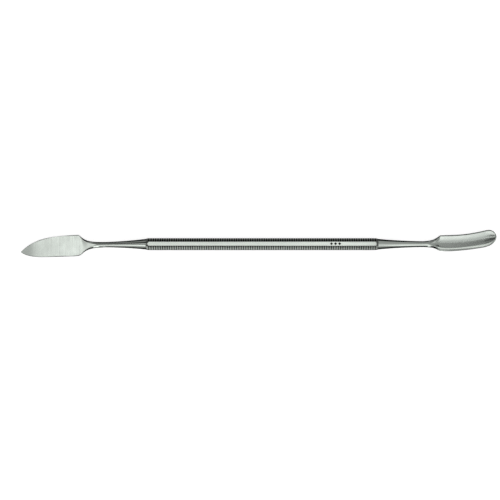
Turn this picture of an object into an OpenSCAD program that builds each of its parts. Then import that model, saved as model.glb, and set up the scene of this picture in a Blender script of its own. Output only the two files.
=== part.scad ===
// Double-ended sculpting spatula: an octagonal steel bar with serrated corner facets, and
// two forged working ends, a pointed leaf and a long shallow scoop. Each working end has a
// round tang that is pressed into a socket in the end of the bar, up to its shoulder.
// Frame: X runs along the tool and +Z out of the working faces. The origin is the middle of
// the bar's underside, the flat that the tool rests on. Sizes are in millimetres.

/* [Handle bar] */
// Distance across the flats of the octagon
bar_flats = 4.3; // [4.1:0.1:5.5]
// Length of the bar from shoulder to shoulder
bar_length = 85.6; // [60:0.2:100]
// Length of the turned cone at each end, measured on the flats
bar_cone = 0.65; // [0.4:0.05:1]
// Diameter where the bar meets a shoulder
shoulder_d = 3.92; // [3.5:0.02:4.1]
// How far the serrated facets stand inside a regular octagon
serrated_sink = 0.05; // [0:0.01:0.15]

/* [Serrations] */
// Spacing of the grooves along the bar
groove_pitch = 0.85; // [0.7:0.05:1.2]
// Depth of a groove below its facet
groove_depth = 0.1; // [0.08:0.02:0.3]
// Width of a groove at its facet
groove_width = 0.5; // [0.3:0.05:0.55]
// Length left plain at each end of the bar
groove_margin = 0.7; // [0.7:0.1:4]

/* [Tang joints] */
// Diameter of the sockets in the bar
socket_d = 2.4; // [1.6:0.1:2.8]
// Depth of the sockets to the start of the drill point
socket_depth = 12; // [6:1:20]
// Radial gap between a tang and its socket
tang_gap = 0.02; // [0.01:0.01:0.05]
// Gap between the end of a tang and the bottom of its socket
tang_short = 0.5; // [0.2:0.1:2]

/* [Leaf end] */
// Length of the tapered shank, from the shoulder to the neck
leaf_shank = 14.8; // [10:0.2:20]
// Diameter of the neck
leaf_neck_d = 2; // [1.6:0.1:2.6]
// Length of the flare, from the neck to the back corner of the blade
leaf_flare = 9.9; // [8:0.1:14]
// Length of the blade, from its back corner to its point
leaf_length = 21.4; // [16:0.2:30]
// Width of the blade
leaf_width = 8.2; // [6:0.1:10]
// Thickness of the blade at its corners
leaf_thickness = 0.9; // [0.7:0.1:1.4]
// Droop of the point below the middle of the bar
leaf_droop = 1.1; // [0:0.1:1.6]

/* [Scoop end] */
// Length of the tapered shank, from the shoulder to the neck
scoop_shank = 15.5; // [10:0.5:20]
// Diameter of the neck
scoop_neck_d = 2.2; // [1.8:0.1:2.6]
// Length of the flare, from the neck to the back corner of the blade
scoop_flare = 7.25; // [6:0.05:12]
// Length of the blade, from its back corner to its round tip
scoop_length = 20.7; // [16:0.1:28]
// Width of the blade
scoop_width = 5.9; // [5:0.1:8]
// Thickness of the blade
scoop_thickness = 0.84; // [0.6:0.02:1.2]
// Depth of the trough below its rim
scoop_depth = 0.62; // [0.4:0.02:1.2]
// Height of the rim at the corners above the middle of the bar
scoop_lift = 0.8; // [0.3:0.1:1.2]
// Sideways sweep of the tip towards the back edge
scoop_sweep = 2.3; // [0:0.1:4]
// Rise of the rim at the tip above the rim at the corners
scoop_rise = 0.5; // [0:0.1:2]

/* [Hidden] */
axis_z = bar_flats / 2;
bar_end = bar_length / 2;
serrated_r = axis_z - serrated_sink; // from the bar's axis to a serrated facet
plain_half = sqrt(2) * serrated_r - axis_z; // half width of a plain facet
arris_r = norm([axis_z, plain_half]);
cone_slope = (axis_z - shoulder_d / 2) / bar_cone;
shoulder_r = shoulder_d / 2;
tang_r = socket_d / 2 - tang_gap;
tang_length = socket_depth - tang_short;
tang_nose = 0.4; // chamfer on the free end of a tang
tang_root = 1; // length of tang buried in its shank
clearance = 0.02; // how far the groove cutter stands above its facet between two grooves
strips = 20; // strips across a blade, on each face
trough_back = 0.86; // where the trough begins, as a share of the half width behind the middle
trough_belly = -0.56; // where it ends, in front of the middle, leaving a flat rim there
trough_skew = 0.2; // leans the deepest line of the trough towards the belly edge
belly_drop = 0.45; // how far the belly edge lies below its rim, as a share of the trough's depth

// --- Handle bar ---------------------------------------------------------------------------

// A row of V grooves along X, joined by a band above the facet
module groove_comb() {
  count = floor((bar_length - 2 * groove_margin) / groove_pitch);
  start = -(count - 1) / 2 * groove_pitch;
  half = groove_width / 2 * (1 + clearance / groove_depth);
  teeth = [for (i = [0:count - 1], p = [[-half, clearance], [0, -groove_depth], [half, clearance]])
    [start + i * groove_pitch + p[0], p[1]]];
  end = bar_end - groove_margin + groove_pitch;
  rotate([90, 0, 0])
    linear_extrude(bar_flats, center = true)
      polygon(concat(teeth, [[end, clearance], [end, 1], [-end, 1], [-end, clearance]]));
}

// The turned envelope that trims the bar's ends to cones
module turned_envelope() {
  envelope_r = arris_r + clearance;
  cone = (envelope_r - shoulder_r) / cone_slope;
  rotate([0, 90, 0])
    rotate_extrude($fn = 64)
      polygon([[0, -bar_end], [shoulder_r, -bar_end], [envelope_r, -bar_end + cone],
        [envelope_r, bar_end - cone], [shoulder_r, bar_end], [0, bar_end]]);
}

// A blind hole with a drill point, opening at x = 0 and running to -X
module socket() {
  point = socket_d / 2 / tan(59);
  rotate([0, -90, 0])
    rotate_extrude($fn = 64)
      polygon([[0, -1], [socket_d / 2, -1], [socket_d / 2, socket_depth], [0, socket_depth + point]]);
}

// The octagon: four plain facets, and between them the four that are serrated
module octagon() {
  a = axis_z;
  b = plain_half;
  polygon([[a, -b], [a, b], [b, a], [-b, a], [-a, b], [-a, -b], [-b, -a], [b, -a]]);
}

module handle_bar() {
  color("gainsboro")
    translate([0, 0, axis_z])
      difference() {
        intersection() {
          rotate([0, 90, 0])
            linear_extrude(bar_length, center = true)
              octagon();
          turned_envelope();
        }
        for (facet = [45:90:315])
          rotate([facet, 0, 0])
            translate([0, 0, serrated_r])
              groove_comb();
        for (side = [0, 180])
          rotate([0, 0, side])
            translate([bar_end, 0, 0])
              socket();
      }
}

// --- Working ends -------------------------------------------------------------------------
// A working end is a loft over ribs. A rib runs from the belly edge (-Y) to the back edge (+Y)
// and both edges are Bezier curves. A span is [back edge, belly edge, section, ribs]: an edge
// point is [distance from the shoulder, y], and a section point is [half thickness, width of
// the back edge's rounding, width of the belly edge's rounding, height of the rim above the
// bar's axis, depth of the trough, power of the rounding: 2 is an ellipse and 1 a flat bevel].

function bezier(p, t) = len(p) == 1
  ? p[0]
  : bezier([for (i = [0:len(p) - 2]) (1 - t) * p[i] + t * p[i + 1]], t);

// Share of the half thickness left at u, where u runs from -1 at the belly to 1 at the back
function rounded(u, half, section) =
  let (run = min(half, u > 0 ? section[1] : section[2]),
       outside = max(0, 1 - (1 - abs(u)) * half / run))
  pow(1 - pow(outside, section[5]), 1 / section[5]);

// Share of the trough's depth at u on the working face, and on the bulging underside
function trough(u) = let (v = (2 * u - trough_back - trough_belly) / (trough_back - trough_belly))
  abs(v) >= 1 ? 0 : (1 - v * v) * (1 - trough_skew * v);
function bulge(u) = pow(max(0, 1 - u * u), 1.5);

function rib_point(back, belly, section, u, face) =
  let (half = norm(back - belly) / 2,
       place = (back + belly) / 2 + u * (back - belly) / 2,
       full = rounded(u, half, section),
       drop = u < 0 ? belly_drop * section[4] * (1 - full) : 0,
       rim = section[3] - section[4] * (face > 0 ? trough(u) : bulge(u)) - drop)
  [place[0], place[1], axis_z + rim + face * section[0] * full];

function rib(span, t) =
  let (back = bezier(span[0], t), belly = bezier(span[1], t), section = bezier(span[2], t))
  concat([for (j = [0:strips]) rib_point(back, belly, section, -cos(180 * j / strips), 1)],
    [for (j = [strips - 1:-1:1]) rib_point(back, belly, section, -cos(180 * j / strips), -1)]);

module loft(spans) {
  ribs = concat([rib(spans[0], 0)],
    [for (span = spans, i = [1:span[3]]) rib(span, i / span[3])]);
  n = 2 * strips;
  last = len(ribs) - 1;
  sides = [for (i = [0:last - 1], j = [0:n - 1]) let (k = (j + 1) % n)
    [i * n + j, i * n + k, (i + 1) * n + k, (i + 1) * n + j]];
  root_cap = [for (j = [n - 1:-1:0]) j];
  tip_cap = [for (j = [0:n - 1]) last * n + j];
  polyhedron([for (r = ribs, p = r) p], concat(sides, [root_cap, tip_cap]), convexity = 4);
}

// The tang, from inside the shank to its chamfered free end
module tang() {
  translate([0, 0, axis_z])
    rotate([0, -90, 0])
      rotate_extrude($fn = 64)
        polygon([[0, -tang_root], [tang_r, -tang_root], [tang_r, tang_length - tang_nose],
          [tang_r - tang_nose, tang_length], [0, tang_length]]);
}

// A round shank that thins from the shoulder to a neck whose middle lies at y
function shank_span(length, neck_r, y) =
  let (waist = neck_r + 0.15 * (shoulder_r - neck_r))
  [[[0, shoulder_r], [length / 2, y / 2 + waist], [length, y + neck_r]],
   [[0, -shoulder_r], [length / 2, y / 2 - waist], [length, y - neck_r]],
   [for (r = [shoulder_r, waist, neck_r]) [r, r, r, 0, 0, 2]],
   12];

// Sections of a flare: a round neck of radius r, then a flat face between two bevels that
// narrow towards the blade, whose first section is last
function flare_sections(r, lift, depth, corner_bevel, last) = [
  [r, 1.4 * r, 1.4 * r, 0, 0, 2],
  [r, 1.3 * r, 1.3 * r, 0, 0, 2],
  [0.95 * r, 0.8 * r, 0.5 * r, 0.1 * lift, 0, 1],
  [0.75 * r, 0.9 * r, 0.4 * r, 0.5 * lift, 0.5 * depth, 1],
  [0.5 * r, 0.7 * r, corner_bevel, 0.9 * lift, 0.95 * depth, 1],
  last];

// The leaf: a pointed blade with a bowed back and a straight belly, drawn towards -Y
leaf_drop = -0.17; // y of the neck's middle
leaf_r = leaf_neck_d / 2;
leaf_half = leaf_thickness / 2;
leaf_corner = leaf_shank + leaf_flare;
leaf_back_y = 0.42 * leaf_width;
leaf_belly_y = leaf_back_y - leaf_width;
leaf_point = [leaf_corner + leaf_length, leaf_belly_y + 0.235 * leaf_width];
leaf_blunt = 0.1; // half width of the point
leaf_edge = 0.12; // width of the rounding along the blade's edges
leaf_section = [leaf_half, leaf_edge, leaf_edge, 0, 0, 1.3];

leaf_flare_span = [
  [[leaf_shank, leaf_drop + leaf_r], [leaf_shank + 0.65 * leaf_flare, leaf_drop + 0.86 * leaf_r],
   [leaf_shank + 0.78 * leaf_flare, leaf_drop + 1.5 * leaf_r], [leaf_corner, leaf_back_y]],
  [[leaf_shank, leaf_drop - leaf_r], [leaf_shank + 0.43 * leaf_flare, leaf_drop - 1.19 * leaf_r],
   [leaf_shank + 0.69 * leaf_flare, leaf_drop - 1.34 * leaf_r],
   [leaf_corner - 0.09 * leaf_flare, 0.84 * leaf_belly_y]],
  flare_sections(leaf_r, 0, 0, 0.25 * leaf_r, leaf_section),
  14];

leaf_blade_span = [
  [[leaf_corner, leaf_back_y], [leaf_corner + 0.48 * leaf_length, 0.88 * leaf_back_y],
   [leaf_corner + 0.76 * leaf_length, 0.66 * leaf_back_y], leaf_point + [0, leaf_blunt]],
  [[leaf_corner - 0.09 * leaf_flare, 0.84 * leaf_belly_y],
   [leaf_corner + 0.06 * leaf_length, 1.1 * leaf_belly_y],
   [leaf_corner + 0.4 * leaf_length, 0.74 * leaf_belly_y],
   [leaf_corner + 0.77 * leaf_length, 1.37 * leaf_belly_y], leaf_point - [0, leaf_blunt]],
  [leaf_section, [0.9 * leaf_half, leaf_edge, leaf_edge, 0, 0, 1.3],
   [0.7 * leaf_half, leaf_edge, leaf_edge, 0, 0, 1.3],
   [0.4 * leaf_half, leaf_edge, leaf_edge, -leaf_droop, 0, 1.3]],
  18];

module leaf_blade() {
  color("silver")
    mirror([1, 0, 0])
      translate([bar_end, 0, 0]) {
        loft([shank_span(leaf_shank, leaf_r, leaf_drop), leaf_flare_span, leaf_blade_span]);
        tang();
      }
}

// The scoop: a parallel blade with a shallow trough and a round tip, swept towards +Y
scoop_r = scoop_neck_d / 2;
scoop_half = scoop_thickness / 2;
scoop_corner = scoop_shank + scoop_flare;
scoop_back_y = 0.54 * scoop_width;
scoop_belly_y = scoop_back_y - scoop_width;
scoop_end = scoop_corner + scoop_length;
scoop_back_run = 0.4; // width of the rounding along the back edge
scoop_belly_run = 1.05; // width of the rounding along the belly edge
scoop_section = [scoop_half, scoop_back_run, scoop_belly_run, scoop_lift, scoop_depth, 1.05];
tip_start = scoop_end - 0.65 * scoop_width; // where the round tip begins on the back edge
tip_blunt = 0.12; // half width of the last rib
tip_middle = [scoop_end, scoop_sweep + 0.05 * scoop_width];
tip_back = [tip_start, scoop_back_y + 0.82 * scoop_sweep];
tip_belly = [tip_start - 0.15 * scoop_width, scoop_belly_y + 0.61 * scoop_sweep];

// A section of the tip with these shares of the blade's thickness, rise and depth
function tip_section(thickness, rise, depth) =
  [thickness * scoop_half, scoop_back_run, scoop_belly_run, scoop_lift + rise * scoop_rise,
   depth * scoop_depth, 1.3];

scoop_flare_span = [
  [[scoop_shank, scoop_r], [scoop_shank + 0.61 * scoop_flare, 0.96 * scoop_r],
   [scoop_shank + 0.78 * scoop_flare, 1.8 * scoop_r], [scoop_corner, scoop_back_y]],
  [[scoop_shank, -scoop_r], [scoop_shank + 0.6 * scoop_flare, -scoop_r],
   [scoop_shank + 0.7 * scoop_flare, -1.25 * scoop_r],
   [scoop_corner - 0.08 * scoop_flare, 0.86 * scoop_belly_y]],
  flare_sections(scoop_r, scoop_lift, scoop_depth, 0.65 * scoop_r, scoop_section),
  14];

scoop_blade_span = [
  [[scoop_corner, scoop_back_y], [scoop_corner + 0.3 * scoop_length, 1.06 * scoop_back_y],
   [scoop_corner + 0.46 * scoop_length, scoop_back_y + 0.05 * scoop_sweep], tip_back],
  [[scoop_corner - 0.08 * scoop_flare, 0.86 * scoop_belly_y],
   [scoop_corner + 0.06 * scoop_length, 1.15 * scoop_belly_y],
   [scoop_corner + 0.4 * scoop_length, 0.95 * scoop_belly_y], tip_belly],
  [scoop_section, scoop_section, scoop_section, tip_section(0.9, 0.5, 0.9)],
  16];

scoop_tip_span = [
  [tip_back, tip_back + [0.36 * scoop_width, 0.09 * scoop_width],
   [scoop_end - 0.02 * scoop_width, tip_middle[1] + 0.29 * scoop_width],
   tip_middle + [0, tip_blunt]],
  [tip_belly, tip_belly + [0.48 * scoop_width, 0.1 * scoop_width],
   [scoop_end - 0.02 * scoop_width, tip_middle[1] - 0.34 * scoop_width],
   tip_middle - [0, tip_blunt]],
  [tip_section(0.9, 0.5, 0.9), tip_section(0.9, 0.7, 0.8), tip_section(0.8, 1, 0.5),
   tip_section(0.7, 1, 0)],
  12];

module scoop_blade() {
  color("silver")
    translate([bar_end, 0, 0]) {
      loft([shank_span(scoop_shank, scoop_r, 0), scoop_flare_span, scoop_blade_span,
        scoop_tip_span]);
      tang();
    }
}

handle_bar();
leaf_blade();
scoop_blade();
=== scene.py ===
import math

import bmesh
import bpy
import numpy as np
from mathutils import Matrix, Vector


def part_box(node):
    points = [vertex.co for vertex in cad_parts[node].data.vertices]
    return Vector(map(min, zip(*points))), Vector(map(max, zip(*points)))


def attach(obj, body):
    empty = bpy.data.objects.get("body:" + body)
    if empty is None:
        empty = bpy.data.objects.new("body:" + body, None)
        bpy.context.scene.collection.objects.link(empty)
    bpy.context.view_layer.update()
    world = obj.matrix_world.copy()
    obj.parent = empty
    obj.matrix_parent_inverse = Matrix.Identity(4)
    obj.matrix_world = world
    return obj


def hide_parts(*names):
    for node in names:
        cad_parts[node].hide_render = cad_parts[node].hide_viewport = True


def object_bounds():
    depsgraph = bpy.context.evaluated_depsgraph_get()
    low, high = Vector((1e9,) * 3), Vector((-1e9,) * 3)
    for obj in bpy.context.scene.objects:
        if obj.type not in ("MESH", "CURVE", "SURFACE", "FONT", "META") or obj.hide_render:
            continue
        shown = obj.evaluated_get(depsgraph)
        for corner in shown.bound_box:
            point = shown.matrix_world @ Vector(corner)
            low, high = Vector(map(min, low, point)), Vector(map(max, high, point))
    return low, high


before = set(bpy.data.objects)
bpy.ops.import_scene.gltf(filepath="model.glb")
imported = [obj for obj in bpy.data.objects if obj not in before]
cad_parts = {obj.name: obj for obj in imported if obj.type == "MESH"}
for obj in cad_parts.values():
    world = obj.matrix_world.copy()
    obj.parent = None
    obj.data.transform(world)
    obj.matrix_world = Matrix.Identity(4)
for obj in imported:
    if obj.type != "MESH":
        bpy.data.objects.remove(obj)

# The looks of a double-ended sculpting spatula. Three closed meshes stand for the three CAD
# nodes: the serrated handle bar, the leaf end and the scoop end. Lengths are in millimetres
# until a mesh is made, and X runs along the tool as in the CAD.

CAD_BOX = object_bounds()
MM = 0.001


def node_box(name):
    """Lowest and highest corner of a CAD node in millimetres."""
    return [np.array(corner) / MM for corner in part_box(name)]


BAR_LOW, BAR_HIGH = node_box("handle_bar")
LEAF_POINT_X = node_box("leaf_blade")[0][0]
SCOOP_TIP_X = node_box("scoop_blade")[1][0]

BAR_END = BAR_HIGH[0]  # the bar reaches from -BAR_END to BAR_END
FLAT_R = (BAR_HIGH[2] - BAR_LOW[2]) / 2  # from the bar's axis to a plain facet
CORNER_R = 2.1  # from the bar's axis to a serrated corner facet, as in the CAD
AXIS_Z = (BAR_HIGH[2] + BAR_LOW[2]) / 2

# The joint between the bar and a working end, as in the CAD
CONE_LENGTH = 0.65  # length of the cone at each end of the bar, measured on the flats
SHOULDER_R = 1.96
SOCKET_R = 1.2
SOCKET_DEPTH = 12.0
SOCKET_POINT = 0.72  # length of the drill point beyond the socket's depth
SOCKET_TIP_R = 0.02
TANG_R = 1.18
TANG_LENGTH = 11.5
TANG_NOSE = 0.4  # chamfer on the tang's free end

# The serrations, as in the CAD
GROOVE_PITCH = 0.85
GROOVE_COUNT = 99
FIRST_GROOVE = -(GROOVE_COUNT - 1) / 2 * GROOVE_PITCH
GROOVE_DEPTH = 0.1
GROOVE_HALF = 0.25  # half the width of a groove at its facet
# Where rings stand about the middle of a groove: its flat root, its walls and its worn edges
GROOVE_STEPS = (-0.31, -0.28, -0.25, -0.22, -0.12, -0.02, 0.02, 0.12, 0.22, 0.25, 0.28, 0.31)

# Details of the bar that the CAD leaves out
ROOT_LEFT = 0.92  # share of a groove's depth that its flat root reaches
CREST_WEAR = 0.015  # depth worn off each crest's edges, which reaches twice as far along X
ARRIS = 0.05  # width of the worn rounding between two facets
ARRIS_SINK = 0.19  # how far the arris stands inside the sharp corner, as a share of its width
HOLLOW = 0.1  # depth of the shallow hollow across each serrated facet

# The attribute cut is 0 off the serrated facets, this on their crests, and nearly 1 at the
# roots of the grooves
CREST_CUT = 0.25

CONE_REACH = 1.25  # rings stand close together over this length at each end of the bar
CONE_RINGS = 18
STRIPS = 40  # strips across a blade, on each face
SATIN_START = 0.5  # share of a flare that is polished like its shank

# Angles in degrees above which an edge between two faces stays sharp
BAR_SHARP = 15
END_SHARP = 30


# --- Meshes -------------------------------------------------------------------------------

def make_piece(name, rings, tags, sharp_angle):
    """A closed mesh through rings of points, each ring running the same way round, with a fan
    of faces over the first ring and the last. tags holds vertex attributes by name, with one
    value per ring point. The rings are finer than the CAD's, so they are held in its box."""
    rings = np.clip(rings, CAD_BOX[0] / MM, CAD_BOX[1] / MM)
    count, n = rings.shape[:2]
    points = np.concatenate([rings.reshape(-1, 3), [rings[0].mean(0), rings[-1].mean(0)]])
    faces = []
    for i in range(count - 1):
        for j in range(n):
            k = (j + 1) % n
            faces.append((i * n + j, i * n + k, (i + 1) * n + k, (i + 1) * n + j))
    first_hub, last_hub, last = count * n, count * n + 1, (count - 1) * n
    faces += [(first_hub, (j + 1) % n, j) for j in range(n)]
    faces += [(last_hub, last + j, last + (j + 1) % n) for j in range(n)]
    mesh = bpy.data.meshes.new(name)
    mesh.from_pydata((points * MM).tolist(), [], faces)
    for tag, values in tags.items():
        values = np.array(values, float).reshape(-1)
        layer = mesh.attributes.new(tag, "FLOAT", "POINT")
        layer.data.foreach_set("value", np.concatenate([values, [values[0], values[-1]]]))
    tidy_mesh(mesh, sharp_angle)
    obj = bpy.data.objects.new(name, mesh)
    bpy.context.scene.collection.objects.link(obj)
    return obj


def tidy_mesh(mesh, sharp_angle):
    """Merges double points, points every face outwards and sets smooth shading."""
    work = bmesh.new()
    work.from_mesh(mesh)
    bmesh.ops.remove_doubles(work, verts=work.verts, dist=1e-8)
    bmesh.ops.recalc_face_normals(work, faces=work.faces)
    work.to_mesh(mesh)
    work.free()
    mesh.shade_smooth()
    mesh.set_sharp_from_angle(angle=math.radians(sharp_angle))


def smoothstep(edge0, edge1, x):
    """0 below edge0 and 1 above edge1, with a smooth rise between them."""
    t = np.clip((np.asarray(x, float) - edge0) / (edge1 - edge0), 0, 1)
    return t * t * (3 - 2 * t)


# --- Handle bar ---------------------------------------------------------------------------

def groove_depth_at(x):
    """Depth of the corner facets below their plane at x, with worn crests and a small root."""
    nearest = np.clip(np.round((x - FIRST_GROOVE) / GROOVE_PITCH), 0, GROOVE_COUNT - 1)
    away = np.abs(x - FIRST_GROOVE - nearest * GROOVE_PITCH)
    wall = GROOVE_DEPTH * (1 - away / GROOVE_HALF)
    groove = np.minimum(wall, GROOVE_DEPTH * ROOT_LEFT)
    wear = CREST_WEAR * np.clip(1 - np.abs(away - GROOVE_HALF) / (2 * CREST_WEAR), 0, 1) ** 2
    return np.where(away < GROOVE_HALF, groove, 0) + wear


def bar_stations():
    """Where the bar's rings stand: close together at each groove and each cone."""
    grooves = [FIRST_GROOVE + i * GROOVE_PITCH + step
               for i in range(GROOVE_COUNT) for step in GROOVE_STEPS]
    cone_x = BAR_END - np.linspace(0, CONE_REACH, CONE_RINGS)
    return np.unique(np.round(np.concatenate([grooves, cone_x, -cone_x]), 4))


# Shares of a facet's half width at which its points lie, and the points of one quarter of
# the ring: half a plain facet, its arris, a serrated facet, an arris, half a plain facet
PLAIN_SHARES = (0, 0.3, 0.6, 0.85, 1)
SERRATED_SHARES = (1, 0.93, 0.75, 0.4, 0, -0.4, -0.75, -0.93, -1)
ON_SERRATED = np.array([0] * 6 + [1] * 9 + [0] * 5)


def bar_section(x):
    """Ring of the bar at x: an octagon whose four corner facets are slightly hollow and sink
    by the groove's depth, trimmed to a circle by the cones at the bar's ends."""
    sink = float(groove_depth_at(np.array(x)))
    plain_half = math.sqrt(2) * CORNER_R - FLAT_R
    corner_half = math.sqrt(2) * FLAT_R - CORNER_R - ARRIS
    quarter = [(share * (plain_half - ARRIS), FLAT_R) for share in PLAIN_SHARES]
    turn = math.radians(45)
    across = np.array((math.cos(turn), -math.sin(turn)))
    out = np.array((math.sin(turn), math.cos(turn)))
    inward = ARRIS_SINK * ARRIS * np.array((math.sin(turn / 2), math.cos(turn / 2)))
    quarter.append(tuple(np.array((plain_half, FLAT_R)) - inward))
    for share in SERRATED_SHARES:
        radius = CORNER_R - HOLLOW * (1 - share ** 2) - sink * (1 - share ** 6)
        quarter.append(tuple(radius * out - share * corner_half * across))
    quarter += [(b, a) for a, b in quarter[1:6][::-1]]
    ring = []
    for k in range(4):
        c, s = math.cos(-k * math.pi / 2), math.sin(-k * math.pi / 2)
        ring += [(c * y - s * z, s * y + c * z) for y, z in quarter]
    ring = np.array(ring)
    slope = (FLAT_R - SHOULDER_R) / CONE_LENGTH
    limit = SHOULDER_R + slope * (BAR_END - abs(x))
    radius = np.hypot(ring[:, 0], ring[:, 1])
    ring *= np.minimum(1, limit / radius)[:, None]
    return np.column_stack([np.full(len(ring), x), ring[:, 0], ring[:, 1] + AXIS_Z])


def round_ring(x, radius, like):
    """A circle about the bar's axis at x, its points at the same angles as those of like."""
    y, z = like[:, 1], like[:, 2] - AXIS_Z
    scale = radius / np.hypot(y, z)
    return np.column_stack([np.full(len(like), x), y * scale, z * scale + AXIS_Z])


def make_bar():
    """The bar: one skin that runs from the bottom of one socket over the bar's outside to the
    bottom of the other."""
    stations = bar_stations()
    body = [bar_section(x) for x in stations]
    on_corner = np.tile(ON_SERRATED, 4)
    cut = [on_corner * (CREST_CUT + (1 - CREST_CUT) * float(groove_depth_at(x)) / GROOVE_DEPTH)
           for x in stations]

    def bore(side):
        mouth = side * BAR_END
        bottom = side * (BAR_END - SOCKET_DEPTH)
        tip = side * (BAR_END - SOCKET_DEPTH - SOCKET_POINT)
        places = (tip, SOCKET_TIP_R), (bottom, SOCKET_R), (mouth, SOCKET_R)
        return [round_ring(x, radius, body[0]) for x, radius in places]

    rings = bore(-1) + body + bore(1)[::-1]
    in_bore = [np.zeros(len(body[0]))] * 3
    return make_piece("handle", rings, {"cut": in_bore + cut + in_bore}, BAR_SHARP)


# --- Working ends -------------------------------------------------------------------------
# Each working end is a loft over ribs, as in the CAD but finer. A span is (back edge, belly
# edge, section): Bezier curves of (distance from the shoulder, y) points, and of (half
# thickness, width of the back edge's rounding, width of the belly edge's rounding, height of
# the rim, depth of the trough, power of the rounding: 2 is an ellipse and 1 a flat bevel).

TROUGH_BACK = 0.86  # where the trough begins, as a share of the half width
TROUGH_BELLY = -0.56  # and where it ends, in front of the middle
TROUGH_SKEW = 0.2  # leans its deepest line towards the belly edge
BELLY_DROP = 0.45  # how far the belly edge lies below the rim, as a share of the trough's depth


def bezier(points, t):
    """The point at t, from 0 to 1, on the Bezier curve with these control points."""
    points = np.array(points, float)
    while len(points) > 1:
        points = (1 - t) * points[:-1] + t * points[1:]
    return points[0]


def trough(u):
    """Share of the trough's depth at u, where u runs from -1 at the belly to 1 at the back."""
    v = (2 * u - TROUGH_BACK - TROUGH_BELLY) / (TROUGH_BACK - TROUGH_BELLY)
    return np.where(np.abs(v) < 1, (1 - v * v) * (1 - TROUGH_SKEW * v), 0)


def bulge(u):
    """Share of the trough's depth by which the underside bulges at u."""
    return np.maximum(0, 1 - u * u) ** 1.5


def rounded(u, half, back_run, belly_run, power):
    """Share of the half thickness left at u, in a blade that is 2 * half wide."""
    run = np.minimum(np.where(u > 0, back_run, belly_run), half)
    outside = np.clip(1 - (1 - np.abs(u)) * half / run, 0, 1)
    return (1 - outside ** power) ** (1 / power)


def rib(span, t, side):
    """Ring of a working end, at t from 0 to 1 along its span: over the working face from belly
    to back, then underneath to the belly again. side is -1 for the end at -X."""
    back, belly, section = (bezier(curve, t) for curve in span)
    half = np.hypot(*(back - belly)) / 2
    half_thickness, back_run, belly_run, rim, depth, power = section
    turn = np.linspace(0, math.pi, STRIPS + 1)
    u = np.concatenate([-np.cos(turn), np.cos(turn[1:-1])])
    face = np.concatenate([np.ones(STRIPS + 1), -np.ones(STRIPS - 1)])
    sunk = np.where(face > 0, trough(u), bulge(u))
    full = rounded(u, half, back_run, belly_run, power)
    drop = np.where(u < 0, BELLY_DROP * depth * (1 - full), 0)
    z = AXIS_Z + rim - depth * sunk - drop + face * half_thickness * full
    place = (back + belly) / 2 + u[:, None] * (back - belly) / 2
    return np.column_stack([side * (BAR_END + place[:, 0]), place[:, 1], z])


def shank_span(length, neck_r, y):
    """A round shank that thins from the shoulder to a neck whose middle lies at y."""
    waist = neck_r + 0.15 * (SHOULDER_R - neck_r)
    return (
        [(0, SHOULDER_R), (length / 2, y / 2 + waist), (length, y + neck_r)],
        [(0, -SHOULDER_R), (length / 2, y / 2 - waist), (length, y - neck_r)],
        [(r, r, r, 0, 0, 2) for r in (SHOULDER_R, waist, neck_r)],
    )


def flare_sections(r, lift, depth, corner_bevel, last):
    """Sections of a flare: a round neck of radius r, then a flat face between two bevels that
    narrow towards the blade, whose first section is last."""
    return [
        (r, 1.4 * r, 1.4 * r, 0, 0, 2),
        (r, 1.3 * r, 1.3 * r, 0, 0, 2),
        (0.95 * r, 0.8 * r, 0.5 * r, 0.1 * lift, 0, 1),
        (0.75 * r, 0.9 * r, 0.4 * r, 0.5 * lift, 0.5 * depth, 1),
        (0.5 * r, 0.7 * r, corner_bevel, 0.9 * lift, 0.95 * depth, 1),
        last,
    ]


def make_end(name, spans, ribs, side):
    """A working end with its tang, from its spans and how many ribs each of them has. The
    attribute satin is 0 on the polished shank and 1 on the blade."""
    rings, satin = [], []
    for index, (span, count) in enumerate(zip(spans, ribs)):
        for i in range(0 if index == 0 else 1, count + 1):
            t = i / count
            rings.append(rib(span, t, side))
            flare_satin = smoothstep(SATIN_START, 1, t)
            satin.append((0, flare_satin, 1, 1)[index])
    like = rings[0]
    tang = [(BAR_END - TANG_LENGTH, TANG_R - TANG_NOSE),
            (BAR_END - TANG_LENGTH + TANG_NOSE, TANG_R), (BAR_END, TANG_R)]
    rings = [round_ring(side * x, r, like) for x, r in tang] + rings
    satin = [0] * len(tang) + satin
    values = [np.full(2 * STRIPS, s) for s in satin]
    return make_piece(name, rings, {"satin": values}, END_SHARP)


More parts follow.
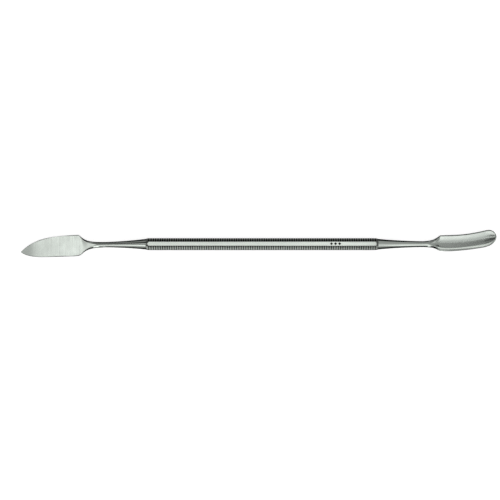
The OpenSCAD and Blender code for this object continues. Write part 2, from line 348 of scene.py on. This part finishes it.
def leaf_spans():
    """Shank, flare and blade of the leaf end. The factors of length, flare and width place the
    edges' control points, as in the CAD."""
    shank, flare = 14.8, 9.9  # their lengths
    r, drop = 1.0, -0.17  # the neck's radius and the y of its middle
    half, edge = 0.45, 0.12  # half thickness, and width of the rounding along the edges
    width = 8.2
    point_height = -1.1  # the point droops below the bar's axis
    corner = shank + flare
    end = -LEAF_POINT_X - BAR_END
    length = end - corner
    back_y = 0.42 * width
    belly_y = back_y - width
    point = np.array((end, belly_y + 0.235 * width))
    blunt = np.array((0, 0.1))

    def blade_section(thickness, height):
        return (thickness * half, edge, edge, height, 0, 1.3)

    corner_back = (corner, back_y)
    corner_belly = (corner - 0.09 * flare, 0.84 * belly_y)
    flare_span = (
        [(shank, drop + r), (shank + 0.65 * flare, drop + 0.86 * r),
         (shank + 0.78 * flare, drop + 1.5 * r), corner_back],
        [(shank, drop - r), (shank + 0.43 * flare, drop - 1.19 * r),
         (shank + 0.69 * flare, drop - 1.34 * r), corner_belly],
        flare_sections(r, 0, 0, 0.25 * r, blade_section(1, 0)),
    )
    blade_span = (
        [corner_back, (corner + 0.48 * length, 0.88 * back_y),
         (corner + 0.76 * length, 0.66 * back_y), point + blunt],
        [corner_belly, (corner + 0.06 * length, 1.1 * belly_y),
         (corner + 0.4 * length, 0.74 * belly_y), (corner + 0.77 * length, 1.37 * belly_y),
         point - blunt],
        [blade_section(1, 0), blade_section(0.9, 0), blade_section(0.7, 0),
         blade_section(0.4, point_height)],
    )
    return [shank_span(shank, r, drop), flare_span, blade_span]


def scoop_spans():
    """Shank, flare, blade and round tip of the scoop end, as in the CAD."""
    shank, flare = 15.5, 7.25  # their lengths
    r, half = 1.1, 0.42  # the neck's radius and the blade's half thickness
    width, depth = 5.9, 0.62  # of the blade and its trough
    lift, rise = 0.8, 0.5  # height of the rim above the axis, and how much the tip adds to it
    sweep = 2.3  # of the tip, towards the back edge
    runs = (0.4, 1.05)  # widths of the rounding along the back and belly edges
    corner = shank + flare
    end = SCOOP_TIP_X - BAR_END
    length = end - corner
    back_y = 0.54 * width
    belly_y = back_y - width
    rim_section = (half, *runs, lift, depth, 1.05)

    def tip_section(thickness, rise_share, depth_share):
        return (thickness * half, *runs, lift + rise_share * rise, depth_share * depth, 1.3)

    start = end - 0.65 * width
    blunt = np.array((0, 0.12))
    middle = np.array((end, sweep + 0.05 * width))
    tip_back = np.array((start, back_y + 0.82 * sweep))
    tip_belly = np.array((start - 0.15 * width, belly_y + 0.61 * sweep))
    corner_back = (corner, back_y)
    corner_belly = (corner - 0.08 * flare, 0.86 * belly_y)
    flare_span = (
        [(shank, r), (shank + 0.61 * flare, 0.96 * r), (shank + 0.78 * flare, 1.8 * r),
         corner_back],
        [(shank, -r), (shank + 0.6 * flare, -r), (shank + 0.7 * flare, -1.25 * r),
         corner_belly],
        flare_sections(r, lift, depth, 0.65 * r, rim_section),
    )
    blade_span = (
        [corner_back, (corner + 0.3 * length, 1.06 * back_y),
         (corner + 0.46 * length, back_y + 0.05 * sweep), tip_back],
        [corner_belly, (corner + 0.06 * length, 1.15 * belly_y),
         (corner + 0.4 * length, 0.95 * belly_y), tip_belly],
        [rim_section, rim_section, rim_section, tip_section(0.9, 0.5, 0.9)],
    )
    ahead = end - 0.02 * width
    tip_span = (
        [tip_back, tip_back + (0.36 * width, 0.09 * width), (ahead, middle[1] + 0.29 * width),
         middle + blunt],
        [tip_belly, tip_belly + (0.48 * width, 0.1 * width), (ahead, middle[1] - 0.34 * width),
         middle - blunt],
        [tip_section(0.9, 0.5, 0.9), tip_section(0.9, 0.7, 0.8), tip_section(0.8, 1, 0.5),
         tip_section(0.7, 1, 0)],
    )
    return [shank_span(shank, r, 0), flare_span, blade_span, tip_span]


# --- Materials ----------------------------------------------------------------------------

class Nodes:
    """Short forms for building one material's nodes."""

    def __init__(self, name):
        self.material = bpy.data.materials.new(name)
        self.material.use_nodes = True
        self.tree = self.material.node_tree
        self.shader = self.tree.nodes["Principled BSDF"]

    def add(self, kind, settings=None, **inputs):
        node = self.tree.nodes.new(kind)
        for key, value in (settings or {}).items():
            setattr(node, key, value)
        for key, value in inputs.items():
            self.put(node.inputs[key.replace("_", " ")], value)
        return node

    def put(self, socket, value):
        """Links an output to the socket, or sets the socket to a value."""
        if hasattr(value, "is_output"):
            self.tree.links.new(value, socket)
        else:
            socket.default_value = value

    def math(self, operation, a, b=0.0, clamp=False):
        node = self.add("ShaderNodeMath", {"operation": operation, "use_clamp": clamp})
        self.put(node.inputs[0], a)
        self.put(node.inputs[1], b)
        return node.outputs[0]

    def mix(self, share, a, b):
        """Colour a where share is 0 and b where it is 1."""
        node = self.add("ShaderNodeMix", {"data_type": "RGBA"})
        self.put(node.inputs[0], share)
        self.put(node.inputs[6], a)
        self.put(node.inputs[7], b)
        return node.outputs[2]

    def spread(self, value, low, high, to_low, to_high):
        """Maps low..high to to_low..to_high, and holds the ends outside."""
        node = self.add("ShaderNodeMapRange", {"clamp": True})
        for slot, v in enumerate((value, low, high, to_low, to_high)):
            self.put(node.inputs[slot], v)
        return node.outputs[0]

    def noise(self, scale, stretch, detail, seed):
        """Noise in the object's own coordinates, drawn out along an axis whose stretch is
        small. seed moves it to another place in the noise."""
        place = self.add("ShaderNodeTexCoord").outputs["Object"]
        spot = self.add("ShaderNodeMapping", Vector=place, Scale=stretch,
                        Location=(seed, seed, seed)).outputs[0]
        return self.add("ShaderNodeTexNoise", Vector=spot, Scale=scale, Detail=detail,
                        Roughness=0.6).outputs["Fac"]

    def attribute(self, name):
        return self.add("ShaderNodeAttribute", {"attribute_name": name}).outputs["Fac"]


STEEL = (0.785, 0.845, 0.79, 1)
STEEL_DULL = (0.735, 0.79, 0.735, 1)
BAR_STEEL = (0.68, 0.73, 0.68, 1)
BAR_STEEL_DULL = (0.62, 0.665, 0.62, 1)
# Painted shade: a near-black colour laid into the walls and roots of the serrations' grooves
GROOVE_SHADE = (0.02, 0.021, 0.02, 1)
ETCH = (0.03, 0.03, 0.03, 1)

SHANK_ROUGH = 0.1
LEAF_ROUGH = 0.13
SCOOP_ROUGH = 0.24
BAR_ROUGH = (0.1, 0.15)
CREST_ROUGH = 0.185  # what the cutter's marks add to the roughness of the serrated facets
ETCH_ROUGH = 0.3  # what the etching adds

NOISE_BAND = (0.3, 0.7)  # nearly all of a noise lies between these
LINES_SCALE = 2600  # fine grinding lines
BLADE_CLOUD_SCALE = 140  # faint stains
BAR_CLOUD_SCALE = 160
ALONG_X = (0.03, 1, 1)  # grinding lines that run along X
ACROSS_X = (1, 0.03, 0.03)

# Three small generic lozenges, in metres
LOZENGES = (0.0255, 0.0270, 0.0285)  # the x of their middles
LOZENGE_HALF = 0.0006
LOZENGE_EDGE = 6.0  # how sharp their edges are


def finish_steel(n, color, rough, lines):
    """Bare metal with this colour and roughness, and grinding lines in its surface."""
    n.put(n.shader.inputs["Base Color"], color)
    n.put(n.shader.inputs["Roughness"], rough)
    bump = n.add("ShaderNodeBump", Strength=0.05, Distance=0.00002, Height=lines)
    n.put(n.shader.inputs["Normal"], bump.outputs[0])
    n.shader.inputs["Metallic"].default_value = 1.0
    return n.material


def blade_steel(name, stretch, blade_rough):
    """Polished shank that turns to a satin blade, with fine grinding lines and faint stains."""
    n = Nodes(name)
    lines = n.noise(LINES_SCALE, stretch, detail=4.0, seed=3.1)
    cloud = n.noise(BLADE_CLOUD_SCALE, (1, 1, 1), detail=3.0, seed=7.7)
    color = n.mix(n.spread(cloud, *NOISE_BAND, 0.0, 1.0), STEEL, STEEL_DULL)
    rough = n.spread(n.attribute("satin"), 0.0, 1.0, SHANK_ROUGH, blade_rough)
    rough = n.math("ADD", rough, n.spread(lines, *NOISE_BAND, -0.03, 0.03))
    rough = n.math("ADD", rough, n.spread(cloud, *NOISE_BAND, -0.02, 0.03))
    return finish_steel(n, color, rough, lines)


def bar_steel():
    """Ground flats with lengthwise lines, duller serrated facets with painted shade, nearly
    black, in their grooves, and a short row of etched lozenges on the top facet."""
    n = Nodes("bar_steel")
    lines = n.noise(LINES_SCALE, ALONG_X, detail=4.0, seed=5.3)
    cloud = n.noise(BAR_CLOUD_SCALE, (0.5, 1, 1), detail=3.0, seed=1.9)
    cut = n.attribute("cut")
    etched = etched_row(n)
    steel = n.mix(n.spread(cloud, *NOISE_BAND, 0.0, 1.0), BAR_STEEL, BAR_STEEL_DULL)
    # Painted shade: the grooves' walls and roots are darkened towards near black, a little
    # unevenly
    in_groove = n.spread(cut, 0.35, 0.7, 0.0, 1.0)
    groove_shade = n.math("MULTIPLY", in_groove, n.spread(cloud, 0.2, 0.6, 0.9, 1.0))
    color = n.mix(etched, n.mix(groove_shade, steel, GROOVE_SHADE), ETCH)
    on_serrated = n.spread(cut, 0.0, CREST_CUT, 0.0, CREST_ROUGH)
    rough = n.math("ADD", n.spread(lines, *NOISE_BAND, *BAR_ROUGH), on_serrated)
    rough = n.math("ADD", rough, n.math("MULTIPLY", etched, ETCH_ROUGH))
    return finish_steel(n, color, rough, lines)


def etched_row(n):
    """1 inside the lozenges on the bar's top facet."""
    place = n.add("ShaderNodeTexCoord").outputs["Object"]
    split = n.add("ShaderNodeSeparateXYZ", Vector=place)
    x, y, z = (split.outputs[i] for i in range(3))
    across = n.math("MULTIPLY", n.math("ABSOLUTE", y), 1 / LOZENGE_HALF)
    total = 0.0
    for middle in LOZENGES:
        along = n.math("ABSOLUTE", n.math("SUBTRACT", x, middle))
        along = n.math("MULTIPLY", along, 1 / LOZENGE_HALF)
        inside = n.math("SUBTRACT", 1.0, n.math("ADD", along, across))
        inside = n.math("MULTIPLY", inside, LOZENGE_EDGE, clamp=True)
        total = n.math("ADD", total, inside)
    on_top = n.math("GREATER_THAN", z, (AXIS_Z + 0.99 * FLAT_R) * MM)
    return n.math("MULTIPLY", total, on_top, clamp=True)


# --- Stage --------------------------------------------------------------------------------

FLOOR_HALF = 1.5  # half the side of the floor, in metres
PAPER = (0.9, 0.9, 0.9, 1)
PAPER_GLOW = 0.8  # keeps the floor evenly white under the tent's few lights

# The lights sewn into the tent: brightness, then the lowest and highest x and y of the
# direction they lie in, seen from the tool. Each fades out over SOFT on both sides, so
# neighbours overlap, and where they do the brighter one shows.
LIGHTS = (
    (0.95, -0.47, 0.05, -0.84, -0.3),  # the long front light
    (1.15, 0.0, 0.25, -0.84, -0.5),  # its right end, which dims upwards
    (0.85, 0.0, 0.25, -0.55, -0.32),  # the dimmer part of that end
    (0.65, 0.1, 0.5, -0.84, -0.22),  # a panel further to the right
    (0.6, 0.0, 0.5, -0.36, -0.05),  # one that leads from it towards the overhead light
    (0.5, 0.0, 0.5, -0.1, 0.1),  # and one on either side of that light
    (1.12, -0.36, 0.1, 0.02, 0.135),  # the narrow overhead light
    (1.7, 0.04, 0.1, 0.02, 0.135),  # its right end, which is brighter
    (0.92, -0.36, -0.18, -0.03, 0.1),  # its left end, which bends forwards and dims
    (0.5, -0.6, -0.3, -0.12, 0.12),  # a dim panel further to the left
    (0.22, -0.42, 0.0, 0.7, 0.96),  # a dim strip behind, on the left
    (0.32, 0.0, 0.56, -0.8, 0.7),  # a broad dim panel on the right
    (0.34, 0.0, 0.3, 0.2, 0.92),  # and another behind, on the right
    (0.22, 0.0, 0.42, -1.1, -0.8),  # a dim panel in front, low down on the right
    (2.1, -0.085, 0.05, -1.1, -0.93),  # the bright wall in front, low down
    (0.4, -0.28, -0.06, -1.1, -0.93),  # its left end, which is dim
    (0.5, -0.09, 0.1, 0.965, 1.1),  # the dim wall behind
)
SOFT = 0.03
CLOTH = 0.05  # brightness of the tent's unlit cloth
BELOW = 0.05  # share of the lights and the cloth that is left where z is under 0
ENDS = 0.66  # the end walls, pale in front and high up, lie where x is beyond this either way
ENDS_GLOW = 0.5
TENT_RADIUS = 2.0
ROOM = (0.9, 0.9, 0.9, 1)

# The camera looks down on the tool, leaning a little towards its front
LENS = 135
SENSOR = 36
FIELD = 0.18415  # width of the view at the height of the bar's axis
LEAN = math.radians(4.5)
TARGET = Vector((-0.00442, -0.00215, AXIS_Z * MM))


def stage_object(name, work, material):
    """An object with this bmesh's shape, put into the scene."""
    mesh = bpy.data.meshes.new(name)
    work.to_mesh(mesh)
    work.free()
    mesh.materials.append(material)
    obj = bpy.data.objects.new(name, mesh)
    bpy.context.scene.collection.objects.link(obj)
    return obj


def glowing(name, base, strength):
    """A matt material of colour base that also gives off white light."""
    n = Nodes(name)
    n.shader.inputs["Base Color"].default_value = base
    n.shader.inputs["Specular IOR Level"].default_value = 0.0
    n.shader.inputs["Emission Color"].default_value = (1, 1, 1, 1)
    n.put(n.shader.inputs["Emission Strength"], strength(n))
    return n


def make_floor():
    """A plain pale floor, which the steel doesn't reflect."""
    work = bmesh.new()
    bmesh.ops.create_grid(work, x_segments=8, y_segments=8, size=FLOOR_HALF)
    paper = glowing("paper", PAPER, lambda n: PAPER_GLOW)
    paper.shader.inputs["Roughness"].default_value = 0.9
    floor = stage_object("floor", work, paper.material)
    floor.visible_glossy = False


def window(n, value, low, high):
    """1 where value lies between low and high, fading to 0 outside."""
    rise = n.spread(value, low - SOFT, low + SOFT, 0.0, 1.0)
    fall = n.spread(value, high - SOFT, high + SOFT, 1.0, 0.0)
    return n.math("MULTIPLY", rise, fall)


def tent_glow(n):
    """Brightness of the tent in each direction from its middle."""
    place = n.add("ShaderNodeTexCoord").outputs["Object"]
    unit = n.add("ShaderNodeVectorMath", {"operation": "NORMALIZE"})
    n.put(unit.inputs[0], place)
    split = n.add("ShaderNodeSeparateXYZ", Vector=unit.outputs[0])
    x, y, z = (split.outputs[i] for i in range(3))
    glow = CLOTH
    for brightness, x_low, x_high, y_low, y_high in LIGHTS:
        light = n.math("MULTIPLY", window(n, x, x_low, x_high), window(n, y, y_low, y_high))
        glow = n.math("MAXIMUM", glow, n.math("MULTIPLY", light, brightness))
    glow = n.math("MULTIPLY", glow, n.spread(z, -0.06, 0.02, BELOW, 1.0))
    ends = n.spread(n.math("ABSOLUTE", x), ENDS - 2 * SOFT, ENDS, 0.0, ENDS_GLOW)
    in_front = n.spread(y, 0.1, 0.3, 1.0, 0.0)
    high_up = n.spread(z, 0.35, 0.5, 0.0, 1.0)
    ends = n.math("MULTIPLY", ends, n.math("MAXIMUM", in_front, high_up))
    return n.math("MAXIMUM", glow, ends)


def make_tent():
    """A dim tent round the tool with soft lights in it. The camera doesn't see it."""
    work = bmesh.new()
    bmesh.ops.create_icosphere(work, subdivisions=4, radius=TENT_RADIUS)
    cloth = glowing("tent_cloth", (0, 0, 0, 1), tent_glow)
    tent = stage_object("tent", work, cloth.material)
    tent.visible_camera = False


def make_room():
    """The pale room that the camera sees beyond the floor."""
    world = bpy.data.worlds.new("studio")
    world.use_nodes = True
    world.node_tree.nodes["Background"].inputs["Color"].default_value = ROOM
    bpy.context.scene.world = world


def make_camera():
    camera = bpy.data.cameras.new("camera")
    camera.lens = LENS
    camera.sensor_width = SENSOR
    camera.clip_start, camera.clip_end = 0.01, 10
    obj = bpy.data.objects.new("camera", camera)
    back = Vector((0, -math.sin(LEAN), math.cos(LEAN)))
    obj.location = TARGET + FIELD * LENS / SENSOR * back
    obj.rotation_euler = (LEAN, 0, 0)
    bpy.context.scene.collection.objects.link(obj)
    bpy.context.scene.camera = obj


# --- The tool and its stage ---------------------------------------------------------------

LEAF_RIBS = (40, 50, 90)  # ribs along the shank, the flare and the blade
SCOOP_RIBS = (40, 50, 70, 50)  # and along the round tip


def show(piece, node, material):
    """Lets a piece stand for its CAD node."""
    piece.data.materials.append(material)
    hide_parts(node)
    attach(piece, "root")


show(make_bar(), "handle_bar", bar_steel())
show(make_end("leaf", leaf_spans(), LEAF_RIBS, -1), "leaf_blade",
     blade_steel("leaf_steel", ACROSS_X, LEAF_ROUGH))
show(make_end("scoop", scoop_spans(), SCOOP_RIBS, 1), "scoop_blade",
     blade_steel("scoop_steel", ALONG_X, SCOOP_ROUGH))
make_floor()
make_tent()
make_room()
make_camera()
bpy.context.scene.view_settings.view_transform = "Standard"
